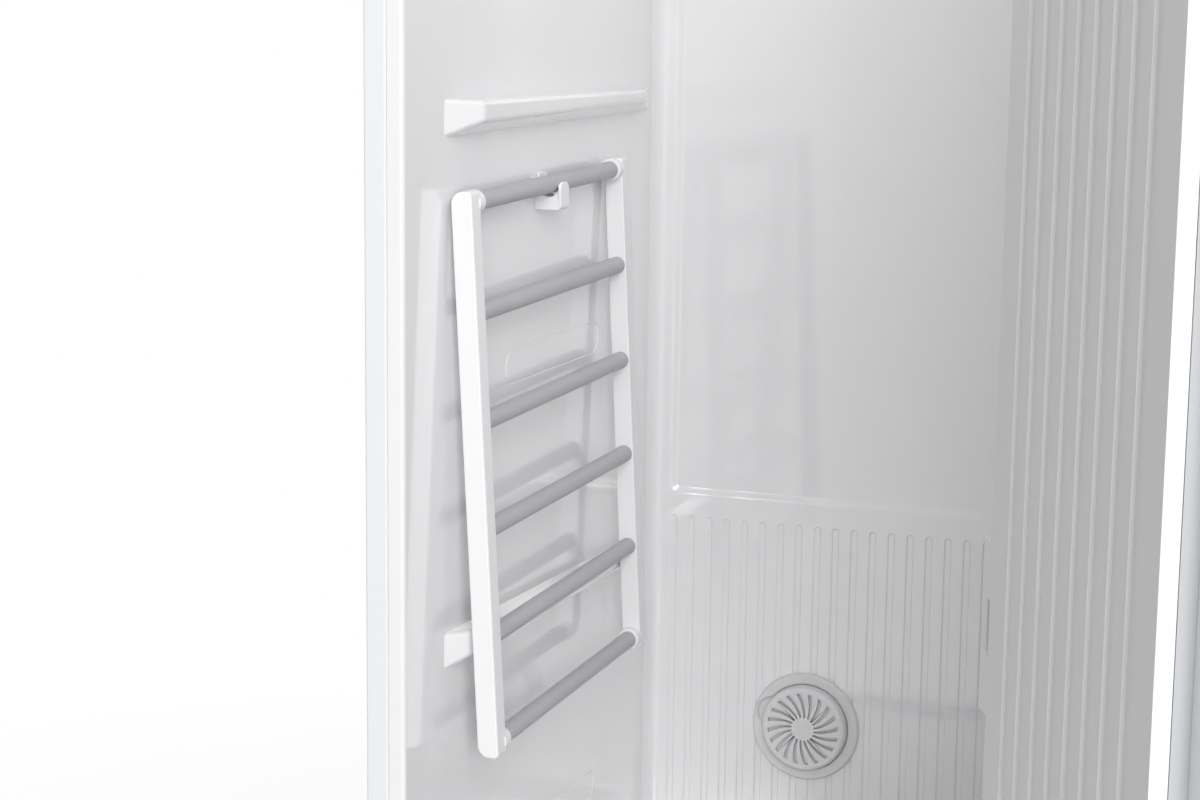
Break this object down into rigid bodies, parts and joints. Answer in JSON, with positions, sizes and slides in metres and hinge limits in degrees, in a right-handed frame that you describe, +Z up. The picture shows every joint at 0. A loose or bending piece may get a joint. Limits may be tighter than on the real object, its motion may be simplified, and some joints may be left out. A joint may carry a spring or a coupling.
{
  "type": "steam closet",
  "caption": "Tall narrow steam closet with an open right-hinged door, a white moulded chamber with shelf ledges, a hanging rod rack and a round steam grille.",
  "frame": {"origin": "on the floor under the middle of the cabinet, door left out", "axes": "+Z up, +Y from the open front into the chamber, +X to the viewer's right, towards the hinge side"},
  "size_m": [0.6351, 0.9607, 1.85],
  "materials": {
    "white_steel": "semi-gloss baked enamel",
    "bare_steel": "satin",
    "zinc_steel": "matte zinc",
    "white_gloss": "moulded gloss",
    "white_satin": "moulded satin",
    "grey_plastic": "moulded satin",
    "grey_rod": "satin powder coat",
    "foam": "expanded foam",
    "gasket_rubber": "soft matte",
    "black_rubber": "matte",
    "front_glass": "polished",
    "dark_glass": "polished",
    "board": "circuit board",
    "lens": "frosted",
    "mesh": "woven screen",
    "tank_blue": "translucent",
    "tank_grey": "translucent",
    "black_paint": "satin",
    "alu": "mill finish",
    "copper": "bare copper look"
  },
  "bodies": {
    "cabinet": {"side_panel_left": "white_steel", "side_panel_right": "white_steel", "top_panel": "white_steel", "rear_panel": "zinc_steel", "service_cover": "zinc_steel", "base_tray": "zinc_steel", "kick_plate": "white_satin", "insulation": "foam", "rear_feet": "black_rubber", "chamber_liner": "white_gloss", "chamber_floor": "white_gloss", "air_outlet": "white_satin", "lamp_lens": "lens", "rack_hook": "white_satin", "steam_collar": "white_gloss", "steam_grille": "grey_plastic", "hanger_guide": "white_satin", "hanger_motor": "bare_steel", "top_hinge": "bare_steel", "bottom_hinge": "bare_steel", "hinge_cover": "white_satin", "tank_bay": "grey_plastic", "steam_generator": "alu", "heating_element": "bare_steel", "steam_hose": "black_rubber", "fan_housing": "grey_plastic", "fan_motor": "bare_steel", "evaporator": "alu", "condenser": "copper", "compressor": "black_paint", "drain_pump": "white_satin", "control_box": "grey_plastic", "power_inlet": "grey_plastic"},
    "door": {"door_front_panel": "front_glass", "door_frame": "white_satin", "door_insulation": "foam", "door_liner": "white_gloss", "door_gasket": "gasket_rubber", "edge_grip": "alu", "display_window": "dark_glass", "display_board": "board", "hinge_bushes": "black_rubber", "press_base": "grey_plastic", "press_pins": "bare_steel"},
    "press_cover": {"press_cover": "white_satin"},
    "supply_tank": {"supply_tank": "tank_blue", "supply_lid": "white_satin"},
    "drain_tank": {"drain_tank": "tank_grey", "drain_lid": "white_satin"},
    "lint_filter": {"filter_frame": "grey_plastic", "filter_mesh": "mesh"},
    "aroma_cap": {"aroma_cap": "grey_plastic"},
    "hanger": {"hanger_bar": "grey_plastic"},
    "crank": {"crank_disc": "grey_plastic"},
    "fan": {"fan_wheel": "grey_plastic"},
    "rack": {"rack_front_bar": "white_satin", "rack_rear_bar": "white_satin", "rack_rods": "grey_rod"},
    "left_foot": {"levelling_foot_left": "grey_plastic"},
    "right_foot": {"levelling_foot_right": "grey_plastic"}
  },
  "joints": [
    {"name": "door_hinge", "type": "hinge", "parent": "cabinet", "child": "door", "pos_m": [0.208, -0.295, 0.925], "axis": [0, 0, 1], "range_deg": [-115, 5]},
    {"name": "press_hinge", "type": "hinge", "parent": "door", "child": "press_cover", "pos_m": [0.19086, -0.37217, 1.08], "axis": [0, 0, -1], "range_deg": [0, 100]},
    {"name": "supply_tank_slide", "type": "slide", "parent": "cabinet", "child": "supply_tank", "axis": [0, -1, 0], "range_m": [0, 0.19]},
    {"name": "drain_tank_slide", "type": "slide", "parent": "cabinet", "child": "drain_tank", "axis": [0, -1, 0], "range_m": [0, 0.19]},
    {"name": "filter_lift", "type": "slide", "parent": "cabinet", "child": "lint_filter", "axis": [0, 0, 1], "range_m": [0, 0.12]},
    {"name": "aroma_hinge", "type": "hinge", "parent": "cabinet", "child": "aroma_cap", "pos_m": [0.09, -0.2098, 0.4385], "axis": [-1, 0, 0], "range_deg": [0, 95]},
    {"name": "hanger_slide", "type": "slide", "parent": "cabinet", "child": "hanger", "axis": [1, 0, 0], "range_m": [-0.0125, 0.0125]},
    {"name": "crank_turn", "type": "hinge", "parent": "cabinet", "child": "crank", "pos_m": [0, -0.0605, 1.718], "axis": [0, 0, 1], "range_deg": [-30, 30]},
    {"name": "fan_spin", "type": "hinge", "parent": "cabinet", "child": "fan", "pos_m": [-0.092, 0.13, 0.3], "axis": [0, 1, 0], "continuous": true},
    {"name": "rack_swing", "type": "hinge", "parent": "cabinet", "child": "rack", "pos_m": [-0.1858, -0.05817, 0.98199], "axis": [0, -0.9999, -0.0154], "range_deg": [0, 30]},
    {"name": "left_foot_turn", "type": "hinge", "parent": "cabinet", "child": "left_foot", "pos_m": [-0.18, -0.225, 0.009], "axis": [0, 0, 1], "continuous": true},
    {"name": "right_foot_turn", "type": "hinge", "parent": "cabinet", "child": "right_foot", "pos_m": [0.18, -0.225, 0.009], "axis": [0, 0, 1], "continuous": true}
  ],
  "couplings": [
    {"joint": "crank_turn", "follows": "hanger_slide", "rad_per_m": -41.667}
  ]
}
